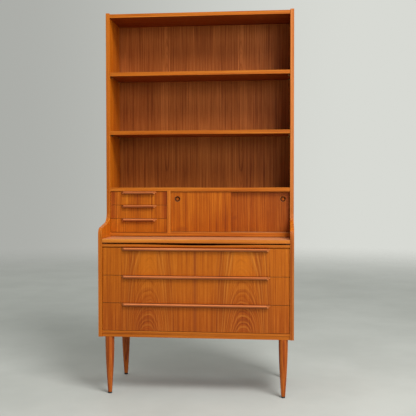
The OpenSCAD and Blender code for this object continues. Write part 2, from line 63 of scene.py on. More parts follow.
# ---------------------------------------------------------------- shader graphs
class Graph:
    """Adds nodes to one tree; a value may be a number, a colour or another node's socket."""

    def __init__(self, tree):
        self.tree = tree

    def add(self, kind, **settings):
        node = self.tree.nodes.new(kind)
        for key, value in settings.items():
            setattr(node, key, value)
        return node

    def put(self, socket, value):
        if isinstance(value, bpy.types.NodeSocket):
            self.tree.links.new(value, socket)
        else:
            socket.default_value = value

    def math(self, operation, a, b=0.0, clamp=False):
        node = self.add("ShaderNodeMath", operation=operation, use_clamp=clamp)
        self.put(node.inputs[0], a)
        self.put(node.inputs[1], b)
        return node.outputs[0]

    def plus(self, a, b):
        return self.math("ADD", a, b)

    def minus(self, a, b):
        return self.math("SUBTRACT", a, b)

    def times(self, a, b):
        return self.math("MULTIPLY", a, b)

    def squares(self, a, b):
        """The sum of two squares."""
        return self.plus(self.times(a, a), self.times(b, b))

    def span(self, value, low, high, to_low=0.0, to_high=1.0):
        """A smooth step from to_low, where value is at low, to to_high, where it is at high."""
        node = self.add("ShaderNodeMapRange", interpolation_type="SMOOTHSTEP")
        for socket, given in zip(node.inputs, (value, low, high, to_low, to_high)):
            self.put(socket, given)
        return node.outputs[0]

    def combine(self, x, y, z):
        node = self.add("ShaderNodeCombineXYZ")
        for socket, given in zip(node.inputs, (x, y, z)):
            self.put(socket, given)
        return node.outputs[0]

    def spot(self):
        """The place on the object, which at rest is its place in the frame."""
        return self.add("ShaderNodeTexCoord").outputs["Object"]

    def split(self, vector):
        node = self.add("ShaderNodeSeparateXYZ")
        self.put(node.inputs[0], vector)
        return node.outputs

    def stretch(self, vector, across, along):
        """A place scaled for noise, with its own scale across and along the grain."""
        node = self.add("ShaderNodeVectorMath", operation="MULTIPLY")
        self.put(node.inputs[0], vector)
        self.put(node.inputs[1], (across, across, along))
        return node.outputs[0]

    def noise(self, vector, detail=2.0, rough=0.5, scale=1.0):
        node = self.add("ShaderNodeTexNoise", noise_dimensions="3D")
        self.put(node.inputs["Vector"], vector)
        self.put(node.inputs["Scale"], scale)
        self.put(node.inputs["Detail"], detail)
        self.put(node.inputs["Roughness"], rough)
        return node.outputs[0]

    def noise_line(self, value, detail=2.0, rough=0.5):
        node = self.add("ShaderNodeTexNoise", noise_dimensions="1D")
        self.put(node.inputs["W"], value)
        self.put(node.inputs["Scale"], 1.0)
        self.put(node.inputs["Detail"], detail)
        self.put(node.inputs["Roughness"], rough)
        return node.outputs[0]

    def mix(self, share, a, b, blend="MIX"):
        node = self.add("ShaderNodeMix", data_type="RGBA", blend_type=blend)
        self.put(node.inputs[0], share)
        self.put(node.inputs[6], a)
        self.put(node.inputs[7], b)
        return node.outputs[2]


def rgb(red, green, blue):
    return (red, green, blue, 1.0)


# The roughness that the wood group varies about
GROUP_ROUGH = 0.50


def wood_group():
    """Solid timber: rings about a pith line that leans along the grain, streaks, fibres and pores.
    Point's Z runs along the grain. Mirror 1 book-matches the sheet about X = 0, and Round
    makes the crowns of the figure wider and rounder."""
    tree = bpy.data.node_groups.new("wood", "ShaderNodeTree")
    face = tree.interface
    face.new_socket("Point", in_out="INPUT", socket_type="NodeSocketVector")
    for name, value in (("Pith X", 0.0), ("Pith Y", 0.0), ("Lean", 0.1), ("Mirror", 0.0),
                        ("Ring", 0.003), ("Lines", 1.0), ("Bands", 0.4), ("Streaks", 1.0),
                        ("Blotches", 1.0), ("Wander", 1.0), ("Round", 0.0), ("Seed", 0.0)):
        socket = face.new_socket(name, in_out="INPUT", socket_type="NodeSocketFloat")
        socket.default_value = value
    for name in ("Light", "Base", "Dark"):
        face.new_socket(name, in_out="INPUT", socket_type="NodeSocketColor")
    face.new_socket("Color", in_out="OUTPUT", socket_type="NodeSocketColor")
    for name in ("Rough", "Height", "Radius"):
        face.new_socket(name, in_out="OUTPUT", socket_type="NodeSocketFloat")
    g = Graph(tree)
    given = g.add("NodeGroupInput").outputs
    x, y, z = g.split(given["Point"])
    mirror = given["Mirror"]
    folded = g.plus(g.times(g.math("ABSOLUTE", x), mirror), g.times(x, g.minus(1.0, mirror)))
    seed = given["Seed"]
    place = g.combine(g.plus(folded, g.times(seed, 1.7)), g.plus(y, g.times(seed, 0.9)),
                      g.plus(z, g.times(seed, 2.3)))
    own = g.combine(g.plus(x, seed), y, z)

    slow = g.minus(g.noise(g.stretch(place, 7.0, 2.2), 2.0), 0.5)
    slow_own = g.minus(g.noise(g.stretch(own, 16.0, 9.0), 3.0), 0.5)
    sway = g.times(given["Wander"], g.plus(g.times(slow, 0.022), g.times(slow_own, 0.006)))
    across = g.plus(g.minus(folded, given["Pith X"]), sway)
    width = g.plus(g.plus(g.math("ABSOLUTE", across), given["Round"]), 1e-5)
    across = g.math("DIVIDE", g.times(across, across), width)
    depth = g.plus(g.minus(y, given["Pith Y"]), g.plus(g.times(z, given["Lean"]), g.times(sway, 0.6)))
    radius = g.math("SQRT", g.squares(across, depth))
    rings = g.math("DIVIDE", radius, given["Ring"])
    ring = g.noise_line(rings, 2.0, 0.55)
    band = g.noise_line(g.times(rings, 0.21), 1.0, 0.5)
    late = g.span(ring, 0.33, 0.50, 1.0, 0.0)

    streak = g.noise(g.stretch(place, 75.0, 1.2), 3.0, 0.66)
    fine = g.noise(g.stretch(place, 190.0, 2.2), 2.0, 0.65)
    fibre = g.noise(g.stretch(place, 620.0, 16.0), 3.0, 0.6)
    blotch = g.noise(g.stretch(own, 9.0, 3.4), 3.0, 0.55)
    pore = g.span(g.noise(g.stretch(own, 1700.0, 75.0), 1.0), 0.62, 0.72)

    def centred(value, weight, gain):
        return g.times(g.times(g.minus(value, 0.5), gain), weight)

    tone = g.plus(0.5, centred(ring, given["Lines"], 1.5))
    tone = g.plus(tone, centred(band, given["Bands"], 1.1))
    tone = g.plus(tone, centred(streak, given["Streaks"], 1.4))
    tone = g.plus(tone, centred(fine, given["Streaks"], 3.2))
    tone = g.plus(tone, centred(fibre, 1.0, 0.55))
    tone = g.minus(tone, g.times(g.times(late, given["Lines"]), 0.30))
    tone = g.plus(tone, centred(blotch, given["Blotches"], 1.3))
    tone = g.math("ADD", tone, 0.04, clamp=True)
    color = g.mix(g.span(tone, 0.02, 0.52), given["Dark"], given["Base"])
    color = g.mix(g.span(tone, 0.46, 1.0), color, given["Light"])
    color = g.mix(g.times(pore, 0.35), color, given["Dark"])

    out = g.add("NodeGroupOutput").inputs
    g.put(out["Color"], color)
    rough = g.plus(GROUP_ROUGH, g.times(g.minus(fibre, tone), 0.16))
    g.put(out["Rough"], g.plus(rough, g.times(pore, 0.2)))
    height = g.minus(g.times(fibre, 0.6), g.times(pore, 0.8))
    g.put(out["Height"], g.plus(height, g.times(tone, 0.35)))
    g.put(out["Radius"], radius)
    return tree


WOOD = wood_group()
# The object's axes that feed the group's X, Y and Z, for grain along x, y or z; a side's
# grain is upright too, and its sheet faces sideways
GRAIN = {"x": (1, 2, 0), "y": (0, 2, 1), "z": (0, 1, 2), "side": (1, 0, 2)}
# The straight-grained timber of the solid strips
SOLID = {"pith_x": 0.13, "pith_y": 0.05, "lean": 0.01, "ring": 0.0022, "blotches": 0.35}
# The sheets on the boards and the leaf
SHEET = {"pith_x": 0.35, "pith_y": 2.0, "lean": 0.04, "ring": 0.0036, "lines": 0.45,
         "streaks": 0.55, "blotches": 0.4}
# Colour of a rubbed edge, partly wear and partly a painted highlight
RUBBED_AND_HIGHLIGHT = (0.78, 0.36, 0.11)


def timber(g, grain, colors, **settings):
    """One use of the wood group, with the grain turned to run along the named axis."""
    spot = g.split(g.spot())
    node = g.add("ShaderNodeGroup", node_tree=WOOD)
    order = GRAIN[grain]
    g.put(node.inputs["Point"], g.combine(spot[order[0]], spot[order[1]], spot[order[2]]))
    for name, value in zip(("Light", "Base", "Dark"), colors):
        node.inputs[name].default_value = rgb(*value)
    for name, value in settings.items():
        node.inputs[name.replace("_", " ").title()].default_value = value
    return node.outputs


def finish_wood(g, color, out, rough, coat, wear_and_highlight, bump, specular):
    """Lighter rubbed edges, partly wear and partly a painted highlight, a bump with open pores and a
    satin finish over a timber colour.
    """
    bevel = g.add("ShaderNodeBevel", samples=4)
    bevel.inputs["Radius"].default_value = 0.0016
    turn = g.add("ShaderNodeVectorMath", operation="DOT_PRODUCT")
    g.put(turn.inputs[0], bevel.outputs[0])
    g.put(turn.inputs[1], g.add("ShaderNodeNewGeometry").outputs["Normal"])
    # Edges are lightened: partly wear, partly a painted highlight where they catch the light
    rubbed_and_highlight = g.span(turn.outputs["Value"], 0.995, 0.90)
    patch = g.noise(g.spot(), 3.0, 0.6, 38.0)
    rubbed_and_highlight = g.times(rubbed_and_highlight, g.span(patch, 0.35, 0.65, 0.3, 1.0))
    color = g.mix(g.times(rubbed_and_highlight, wear_and_highlight), color, rgb(*RUBBED_AND_HIGHLIGHT))
    shade = g.add("ShaderNodeBsdfPrincipled")
    g.put(shade.inputs["Base Color"], color)
    smudge = g.span(patch, 0.2, 0.8, rough - GROUP_ROUGH - 0.03, rough - GROUP_ROUGH + 0.05)
    g.put(shade.inputs["Roughness"], g.plus(out["Rough"], smudge))
    shade.inputs["Specular IOR Level"].default_value = specular
    shade.inputs["Coat Weight"].default_value = coat
    shade.inputs["Coat Roughness"].default_value = 0.32
    lift = g.add("ShaderNodeBump")
    lift.inputs["Strength"].default_value = bump
    lift.inputs["Distance"].default_value = 0.0004
    g.put(lift.inputs["Height"], out["Height"])
    g.put(shade.inputs["Normal"], lift.outputs[0])
    return shade


def new_material(name):
    material = bpy.data.materials.new(name)
    material.use_nodes = True
    material.node_tree.nodes.clear()
    return material, Graph(material.node_tree)


def close(g, shade):
    g.put(g.add("ShaderNodeOutputMaterial").inputs["Surface"], shade.outputs[0])


def facing(g, axis, sign, low=0.6, high=0.9):
    """1 on the faces that look along one axis of the object."""
    part = g.split(g.add("ShaderNodeTexCoord").outputs["Normal"])[axis]
    return g.span(g.times(part, sign), low, high)


def wood_material(name, grain, colors, rough=0.46, coat=0.02, wear_and_highlight=0.30, bump=0.25, specular=0.16,
                  lip=None, tint=None, lip_tint=None, **settings):
    """A timber finish. lip gives the colours of the solid strip on faces that look forward.
    tint and lip_tint change the colour of the sheet and the strip: they paint a figure, or fixed
    light and shade as in the photo."""
    material, g = new_material(name)
    out = timber(g, grain, colors, **settings)
    color = out["Color"]
    if tint:
        color = tint(g, color, out)
    if lip:
        solid = timber(g, grain, lip, lines=0.55, streaks=0.5, seed=4.2, **SOLID)
        strip = lip_tint(g, solid["Color"]) if lip_tint else solid["Color"]
        color = g.mix(facing(g, 1, -1.0), color, strip)
    close(g, finish_wood(g, color, out, rough, coat, wear_and_highlight, bump, specular))
    return material


# ---------------------------------------------------------------- finishes
# The light, base and dark colour of each timber
GOLD = ((0.62, 0.190, 0.014), (0.46, 0.112, 0.004), (0.27, 0.046, 0.002))
AMBER = ((0.58, 0.165, 0.010), (0.41, 0.090, 0.003), (0.23, 0.036, 0.002))
BROWN = ((0.42, 0.130, 0.022), (0.29, 0.078, 0.010), (0.17, 0.036, 0.004))
EDGE = ((0.60, 0.190, 0.020), (0.48, 0.122, 0.007), (0.33, 0.066, 0.004))
GRIP = ((0.52, 0.170, 0.046), (0.40, 0.108, 0.022), (0.26, 0.056, 0.008))
RED = ((0.54, 0.140, 0.014), (0.39, 0.080, 0.006), (0.22, 0.032, 0.003))
PALE = ((0.74, 0.340, 0.160), (0.64, 0.260, 0.105), (0.48, 0.155, 0.050))
PALE_EDGE = ((0.70, 0.250, 0.036), (0.58, 0.165, 0.014), (0.40, 0.088, 0.006))
# The lower track's pale colour is a painted highlight
PALE_TRACK_HIGHLIGHT = ((0.66, 0.40, 0.26), (0.54, 0.31, 0.19), (0.38, 0.19, 0.10))
BEECH = ((0.78, 0.58, 0.38), (0.66, 0.45, 0.26), (0.46, 0.28, 0.15))
PLYWOOD = ((0.74, 0.52, 0.33), (0.62, 0.40, 0.23), (0.42, 0.24, 0.12))

# The pith line of the drawer sheets: its distance from the joint in the middle, its Y at
# floor level, and how far it comes forward for each metre up
CROWN_X = 0.225
CROWN_DEPTH = -0.2016
CROWN_LEAN = 0.1
# Offset into the noise that spaces the crown's rings
CROWN_START = 3.3


def crown_ground(g, color, x, z):
    """Plain gold at the crown's top, and redder low down, most of all inside the crown."""
    off = g.math("ABSOLUTE", g.minus(g.math("ABSOLUTE", x), CROWN_X))
    plain = g.times(g.span(off, 0.055, 0.025), g.span(z, 0.50, 0.60))
    heart = g.times(g.span(off, 0.085, 0.035), g.span(z, 0.56, 0.36))
    color = g.mix(g.times(plain, 0.6), color, rgb(0.56, 0.150, 0.006))
    color = g.mix(g.span(z, 0.66, 0.30), color, rgb(0.82, 0.70, 0.9), "MULTIPLY")
    return g.mix(g.times(heart, 0.55), color, rgb(0.80, 0.66, 1.0), "MULTIPLY")


def crown_rings(g, color, radius, x, y, z):
    """Few wide lines round the crown and many fine ones inside it, fainter on the left."""
    strength = g.span(x, -0.2, 0.2, 0.65, 1.0)
    outer = g.times(g.span(radius, 0.076, 0.086), g.span(radius, 0.15, 0.11))
    for pace, window, share, line_color in ((75.0, 0.11, 0.44, rgb(0.24, 0.046, 0.006)),
                                            (105.0, 0.09, 0.26, rgb(0.72, 0.28, 0.04))):
        curl = g.noise_line(g.plus(g.times(radius, pace), CROWN_START), 1.0)
        growth = g.span(g.math("ABSOLUTE", g.minus(curl, 0.5)), window, 0.0)
        weight = g.times(g.times(outer, strength), share)
        color = g.mix(g.times(growth, weight), color, line_color)
    depth = g.plus(g.minus(y, CROWN_DEPTH), g.times(z, CROWN_LEAN))
    arc = g.math("SQRT", g.times(g.squares(radius, depth), 0.5))
    curl = g.noise_line(g.plus(g.times(arc, 520.0), CROWN_START), 1.0)
    inner = g.times(g.span(radius, 0.084, 0.072), g.span(z, 0.57, 0.42, 0.12, 1.0))
    weight = g.times(inner, strength)
    dark_line = g.times(g.span(curl, 0.48, 0.37), 0.52)
    pale_line = g.times(g.span(curl, 0.53, 0.63), 0.28)
    color = g.mix(g.times(dark_line, weight), color, rgb(0.22, 0.040, 0.005))
    return g.mix(g.times(pale_line, weight), color, rgb(0.62, 0.22, 0.03))


def sheet_joint(g, color, x, z):
    """A hairline where the two sheets meet, in a soft dark band that comes and goes."""
    sway = g.noise(g.combine(0.0, 0.0, g.times(z, 9.0)), 2.0)
    joint = g.math("ABSOLUTE", g.plus(x, g.times(g.minus(sway, 0.5), 0.004)))
    soft = g.times(g.span(joint, 0.016, 0.002), g.span(sway, 0.30, 0.62, 0.20, 0.60))
    color = g.mix(soft, color, rgb(0.28, 0.055, 0.008))
    return g.mix(g.times(g.span(joint, 0.0012, 0.0004), 0.5), color, rgb(0.12, 0.022, 0.004))


def crown_tint(g, color, out):
    """The drawer sheets: one crown on each side of a joint, across all three fronts."""
    x, y, z = g.split(g.spot())
    color = crown_ground(g, color, x, z)
    color = crown_rings(g, color, out["Radius"], x, y, z)
    return sheet_joint(g, color, x, z)


def underside_tint(g, color, out):
    """Faces that look down are darker and redder, painted like the shade under a board."""
    return g.mix(facing(g, 2, -1.0), color, rgb(0.50, 0.34, 0.25), "MULTIPLY")


def side_painted_light(g, color, out):
    """The sides' sheets are brighter near the front than at the back: painted light near the front and
    painted shade towards the back corner.
    """
    y = g.split(g.spot())[1]
    # Painted light near the front, painted shade towards the back
    return g.mix(g.span(y, 0.13, 0.02), color, rgb(1.22, 1.24, 1.0), "MULTIPLY")


def door_tone_and_painted_shade(g, color, out):
    """The rear door is redder and darker than the front one: partly its own veneer, partly painted shade
    where it sits further back. Its right end is darker still, a painted shadow. Each has one dark mark.
    """
    x, y, z = g.split(g.spot())
    front_door_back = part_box("door_left")[1].y
    rear_door_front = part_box("door_right")[0].y
    margin = 0.0001
    rear = g.span(y, front_door_back + margin, rear_door_front - margin)
    # Rear door: its own redder veneer, plus painted shade
    color = g.mix(rear, color, rgb(0.84, 0.78, 1.1), "MULTIPLY")
    # Painted shadow on the rear door's right end
    color = g.mix(g.times(rear, g.span(x, 0.30, 0.43)), color, rgb(0.80, 0.76, 0.9), "MULTIPLY")
    for at_x, at_z, wide, tall, share in ((-0.085, 0.775, 0.035, 0.018, 0.45),
                                          (0.172, 0.832, 0.016, 0.014, 0.5)):
        across = g.math("DIVIDE", g.minus(x, at_x), wide)
        along = g.math("DIVIDE", g.minus(z, at_z), tall)
        away = g.squares(across, along)
        color = g.mix(g.span(away, 1.0, 0.0, 0.0, share), color, rgb(0.24, 0.045, 0.005))
    return color


def track_painted_highlight(g, color, out):
    """The lower track's front lip is as dark as the board; the grooves and rib are paler, a painted
    highlight along the track.
    """
    y = g.split(g.spot())[1]
    lip_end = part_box("door_track_lower")[0].y + TRACK_LIP
    dark = g.mix(1.0, color, rgb(0.86, 0.46, 0.12), "MULTIPLY")
    return g.mix(g.span(y, lip_end, lip_end + 0.001), dark, color)


def handle_painted_light(g, color, out):
    """A lip handle is paler where it faces up, a painted highlight, and darker where it faces down,
    painted shade.
    """
    # Painted highlight on the faces that look up
    color = g.mix(facing(g, 2, 1.0, -0.20, 0.35), color, rgb(1.50, 1.62, 2.3), "MULTIPLY")
    # Painted shade on the faces that look down
    return g.mix(facing(g, 2, -1.0, 0.20, 0.50), color, rgb(0.48, 0.38, 0.32), "MULTIPLY")


def dish_painted_shade(g, color, out):
    """A finger dish has a dark ring between its middle and its rim, painted shade in its hollow."""
    x, _, z = g.split(g.spot())
    away = 1.0
    for name in ("door_pull_left", "door_pull_right"):
        centre_x, _, centre_z = middle(name)
        reach = g.math("SQRT", g.squares(g.minus(x, centre_x), g.minus(z, centre_z)))
        away = g.math("MINIMUM", away, reach)
    low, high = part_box("door_pull_right")
    radius = (high.x - low.x) / 2
    outside_middle = g.span(away, radius * 0.36, radius * 0.58)
    inside_rim = g.span(away, radius * 0.97, radius * 0.90)
    # Painted shade: the dark ring inside the dish
    return g.mix(g.times(outside_middle, inside_rim), color, rgb(0.075, 0.016, 0.003))


def small_tint(g, color, out):
    """The two upper small fronts are darker at their ends."""
    x, _, z = g.split(g.spot())
    low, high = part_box("small_drawer_middle_front")
    half = (high.x - low.x) / 2
    away = g.math("ABSOLUTE", g.minus(x, (low.x + high.x) / 2))
    ends = g.times(g.span(away, half * 0.55, half * 0.95), g.span(z, low.z - 0.004, low.z))
    return g.mix(ends, color, rgb(0.78, 0.62, 0.9), "MULTIPLY")


def back_tint(g, color, out):
    """The back sheet is paler towards the top."""
    z = g.split(g.spot())[2]
    return g.mix(g.span(z, 1.10, 1.35), color, rgb(1.20, 1.22, 1.6), "MULTIPLY")


def side_lip_painted_light(g, color):
    """The solid strip on the right side's front edge is paler above, a painted highlight, and darker and
    redder low down, painted shade.
    """
    x, _, z = g.split(g.spot())
    lower = g.span(z, 0.80, 0.70)
    right = g.span(x, -0.2, 0.2)
    # Painted highlight on the upper part of the strip
    color = g.mix(g.times(g.minus(1.0, lower), right), color, rgb(1.02, 1.08, 2.6), "MULTIPLY")
    # Painted shade on the lower part of the strip
    return g.mix(g.times(lower, right), color, rgb(0.81, 0.77, 1.2), "MULTIPLY")


MATERIALS = {
    "drawer": wood_material("teak_drawer", "z", GOLD, tint=crown_tint, pith_x=CROWN_X,
                            pith_y=CROWN_DEPTH, lean=CROWN_LEAN, mirror=1.0, ring=0.0013, lines=0.36,
                            bands=0.10, round=0.014, streaks=0.50, blotches=0.30, seed=0.0),
    "door": wood_material("teak_door", "z", AMBER, tint=door_tone_and_painted_shade, pith_x=0.62, pith_y=0.3, lean=0.03,
                          ring=0.0036, lines=0.32, streaks=0.42, blotches=0.6, seed=2.0),
    "small": wood_material("teak_small", "z", GOLD, tint=small_tint, pith_x=-0.62, pith_y=0.3,
                           lean=0.03, ring=0.0040, lines=0.35, streaks=0.55, blotches=1.0, seed=5.0),
    "side": wood_material("teak_side", "side", GOLD, lip=EDGE, tint=side_painted_light,
                          lip_tint=side_lip_painted_light, pith_x=0.3, pith_y=0.0, lean=0.01, wander=0.6,
                          ring=0.0036, lines=0.45, streaks=0.55, blotches=0.4, seed=7.0),
    "board": wood_material("teak_board", "x", AMBER, lip=EDGE, tint=underside_tint, seed=9.0, **SHEET),
    "leaf": wood_material("teak_leaf", "x", PALE, lip=PALE_EDGE, tint=underside_tint, seed=9.5,
                          coat=0.15, **SHEET),
    "edge": wood_material("teak_edge", "x", EDGE, lines=0.45, streaks=0.4, seed=4.2, **SOLID),
    "track": wood_material("teak_track", "x", PALE_TRACK_HIGHLIGHT, tint=track_painted_highlight, lines=0.45, streaks=0.4,
                           seed=4.2, **SOLID),
    "upright": wood_material("teak_upright", "z", PALE_EDGE, lines=0.45, streaks=0.4, seed=3.2,
                             **SOLID),
    "back": wood_material("teak_back", "z", BROWN, tint=back_tint, pith_x=0.19, pith_y=0.2771,
                          lean=0.06, mirror=1.0, ring=0.0030, lines=0.40, streaks=0.55,
                          blotches=0.45, seed=0.0, rough=0.52, coat=0.0, specular=0.15),
    "handle": wood_material("teak_handle", "x", GRIP, tint=handle_painted_light, pith_x=0.05, pith_y=0.2,
                            lean=0.01, ring=0.0016, lines=0.4, streaks=0.4, blotches=0.3, seed=1.0,
                            coat=0.15),
    "leg": wood_material("teak_leg", "z", RED, pith_x=0.36, pith_y=-0.28, lean=0.03, mirror=1.0,
                         ring=0.0028, lines=0.6, streaks=0.5, blotches=0.3, seed=0.0, coat=0.12),
    # The pull's lighter rim is partly wear and partly a painted highlight
    "pull": wood_material("teak_pull", "y", RED, tint=dish_painted_shade, pith_x=0.02, pith_y=0.9, lean=0.02,
                          ring=0.0012, lines=0.5, streaks=0.4, blotches=0.3, seed=6.0, wear_and_highlight=0.7,
                          specular=0.06, coat=0.0),
    "beech": wood_material("beech", "y", BEECH, pith_x=0.3, pith_y=0.7, lean=0.02, ring=0.003,
                           lines=0.35, streaks=0.4, blotches=0.2, seed=8.0, coat=0.0, rough=0.55),
    "plywood": wood_material("plywood", "x", PLYWOOD, pith_x=0.1, pith_y=0.36, lean=0.08, ring=0.006,
                             lines=0.5, streaks=0.5, blotches=0.4, seed=11.0, coat=0.0, rough=0.6),
}


def metal_material(name, color, rough):
    """Metal with faint scratches and dulled patches."""
    material, g = new_material(name)
    spot = g.spot()
    dull = g.noise(spot, 3.0, 0.6, 160.0)
    scratch = g.noise(g.stretch(spot, 900.0, 60.0), 2.0)
    shade = g.add("ShaderNodeBsdfPrincipled")
    darker = rgb(*(0.6 * part for part in color))
    g.put(shade.inputs["Base Color"], g.mix(g.span(dull, 0.35, 0.7, 0.0, 0.5), rgb(*color), darker))
    g.put(shade.inputs["Roughness"], g.plus(rough, g.times(dull, 0.2)))
    shade.inputs["Metallic"].default_value = 1.0
    lift = g.add("ShaderNodeBump")
    lift.inputs["Strength"].default_value = 0.2
    lift.inputs["Distance"].default_value = 0.0001
    g.put(lift.inputs["Height"], scratch)
    g.put(shade.inputs["Normal"], lift.outputs[0])
    close(g, shade)
    return material


def glide_material():
    """Moulded black plastic, scuffed grey where it meets the floor."""
    material, g = new_material("glide_plastic")
    spot = g.spot()
    z = g.split(spot)[2]
    grit = g.noise(spot, 3.0, 0.6, 700.0)
    scuff = g.times(g.span(z, 0.003, 0.0002), g.span(grit, 0.4, 0.6))
    shade = g.add("ShaderNodeBsdfPrincipled")
    g.put(shade.inputs["Base Color"], g.mix(scuff, rgb(0.012, 0.011, 0.011), rgb(0.12, 0.11, 0.10)))
    g.put(shade.inputs["Roughness"], g.span(grit, 0.2, 0.8, 0.38, 0.6))
    lift = g.add("ShaderNodeBump")
    lift.inputs["Strength"].default_value = 0.2
    lift.inputs["Distance"].default_value = 0.0001
    g.put(lift.inputs["Height"], grit)
    g.put(shade.inputs["Normal"], lift.outputs[0])
    close(g, shade)
    return material


MATERIALS["steel"] = metal_material("zinc_steel", (0.62, 0.62, 0.60), 0.28)
MATERIALS["brass"] = metal_material("aged_brass", (0.36, 0.24, 0.10), 0.35)
MATERIALS["glide"] = glide_material()


# ---------------------------------------------------------------- carried-over CAD nodes
def soften(node, width, drilled):
    """Drops a CAD mesh's stored normals, welds its split corners and rounds its sharp edges with
    modifiers. A drilled node's bevel isn't clamped, because small holes would narrow it everywhere."""
    mesh = node.data
    if mesh.attributes.get("custom_normal"):
        mesh.attributes.remove(mesh.attributes["custom_normal"])
    mesh.shade_smooth()
    node.modifiers.new("weld", "WELD").merge_threshold = 2e-5
    flat = node.modifiers.new("flat", "DECIMATE")
    flat.decimate_type = "DISSOLVE"
    flat.angle_limit = math.radians(1.0)
    bevel = node.modifiers.new("bevel", "BEVEL")
    bevel.width = width
    bevel.segments = 2
    bevel.limit_method = "ANGLE"
    bevel.angle_limit = math.radians(30)
    bevel.harden_normals = True
    bevel.use_clamp_overlap = not drilled


def dress(node_name, material, width, drilled):
    node = nodes[node_name]
    node.data.materials.clear()
    node.data.materials.append(MATERIALS[material])
    soften(node, width, drilled)


# Finish, width of the rounded edges, whether drilled, and the nodes
DRESSING = (
    ("side", 0.0012, True, ("side_left", "side_right")),
    ("board", 0.0009, True, ("top_board", "box_top_board", "box_bottom_board", "bottom_board")),
    ("board", 0.0009, False, ("upper_shelf", "middle_shelf")),
    ("leaf", 0.0018, False, ("writing_leaf",)),
    ("edge", 0.0014, False, ("leaf_rail",)),
    ("edge", 0.0008, False, ("bottom_rail", "door_track_upper")),
    ("track", 0.0005, False, ("door_track_lower",)),
    ("upright", 0.0008, False, ("box_partition",)),
    ("back", 0.0005, False, ("upper_back_panel", "lower_back_panel")),
    ("door", 0.0008, False, ("door_left", "door_right")),
    ("drawer", 0.0008, False, tuple(f"large_drawer_{level}_front" for level in LEVELS)),
    ("small", 0.0008, False, tuple(f"small_drawer_{level}_front" for level in LEVELS)),
    ("beech", 0.0006, False, ("leaf_runners", "large_drawer_runners", "small_drawer_runners",
                              "leaf_stops", "case_dowels")
     + tuple(f"large_drawer_{level}_{part}" for level in LEVELS for part in ("sides", "back"))
     + tuple(f"small_drawer_{level}_carcass" for level in LEVELS)),
    ("plywood", 0.0004, False, tuple(f"{size}_drawer_{level}_bottom" for level in LEVELS
                                     for size in ("large", "small"))),
    ("brass", 0.0004, False, ("shelf_pins",)),
    ("steel", 0.0004, False, ("leg_inserts", "leg_studs")),
)
for material, width, drilled, names in DRESSING:
    for node_name in names:
        dress(node_name, material, width, drilled)


# ---------------------------------------------------------------- new pieces
def place(name, bm, material, body, slot, *replaced):
    """Turns a bmesh into a smooth piece that stands for CAD nodes and rides on their body."""
    mesh = bpy.data.meshes.new(name)
    bmesh.ops.recalc_face_normals(bm, faces=bm.faces)
    bm.to_mesh(mesh)
    bm.free()
    mesh.materials.append(MATERIALS[material])
    piece = bpy.data.objects.new(name, mesh)
    bpy.context.scene.collection.objects.link(piece)
    mesh.shade_smooth()
    mesh.set_sharp_from_angle(angle=math.radians(35))
    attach(piece, body)
    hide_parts(*replaced)
    return piece


def lathe(bm, centre, outline, steps):
    """Spins (radius, height) pairs about the upright line through centre."""
    rings = []
    for radius, height in outline:
        if radius < 1e-7:
            rings.append([bm.verts.new(centre + Vector((0, 0, height)))])
            continue
        rings.append([bm.verts.new(centre + Vector((radius * math.cos(a), radius * math.sin(a), height)))
                      for a in (2 * math.pi * i / steps for i in range(steps))])
    for low, high in zip(rings, rings[1:]):
        for i in range(steps):
            j = (i + 1) % steps
            corners = [low[i % len(low)], low[j % len(low)], high[j % len(high)], high[i % len(high)]]
            corners = list(dict.fromkeys(corners))
            if len(corners) > 2:
                bm.faces.new(corners)


def rounded(corner_r, corner_h, radius, start, end, steps=4):
    """Points of a small arc, for softened turned edges; angles in degrees."""
    return [(corner_r + radius * math.cos(math.radians(start + (end - start) * i / steps)),
             corner_h + radius * math.sin(math.radians(start + (end - start) * i / steps)))
            for i in range(steps + 1)]


def build_leg(name):
    """A turned leg: a quarter of a sine wave from its tip to the case, both ends softened."""
    low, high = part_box(name)
    centre_x, centre_y, _ = middle(name)
    top_r, length = (high.x - low.x) / 2, high.z - low.z
    soft = 0.0012
    outline = [(0.0, 0.0)] + rounded(TIP_R - soft, soft, soft, -90, 0)
    count = 36
    for i in range(1, count):
        t = i / count
        outline.append((TIP_R + (top_r - TIP_R) * math.sin(math.pi / 2 * t), length * t))
    outline += rounded(top_r - soft, length - soft, soft, 0, 90) + [(0.0, length)]
    bm = bmesh.new()
    lathe(bm, Vector((centre_x, centre_y, low.z)), outline, steps=56)
    place("turned_" + name, bm, "leg", "case", "teak_leg", name)


def build_glides():
    """A moulded foot with a soft lower edge and a shallow ring groove, at each leg."""
    low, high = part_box("leg_glides")
    height = high.z - low.z
    soft, groove = 0.0015, 0.0004
    outline = [(0.0, 0.0)] + rounded(TIP_R - soft, soft, soft, -90, 0)
    for inset, below_top in ((0.0, 0.0016), (groove, 0.0011), (groove, 0.0006), (0.0, 0.0003)):
        outline.append((TIP_R - inset, height - below_top))
    outline += [(TIP_R, height), (0.0, height)]
    bm = bmesh.new()
    for name in LEGS:
        centre_x, centre_y, _ = middle(name)
        lathe(bm, Vector((centre_x, centre_y, low.z)), outline, steps=48)
    place("moulded_glides", bm, "glide", "case", "glide", "leg_glides")


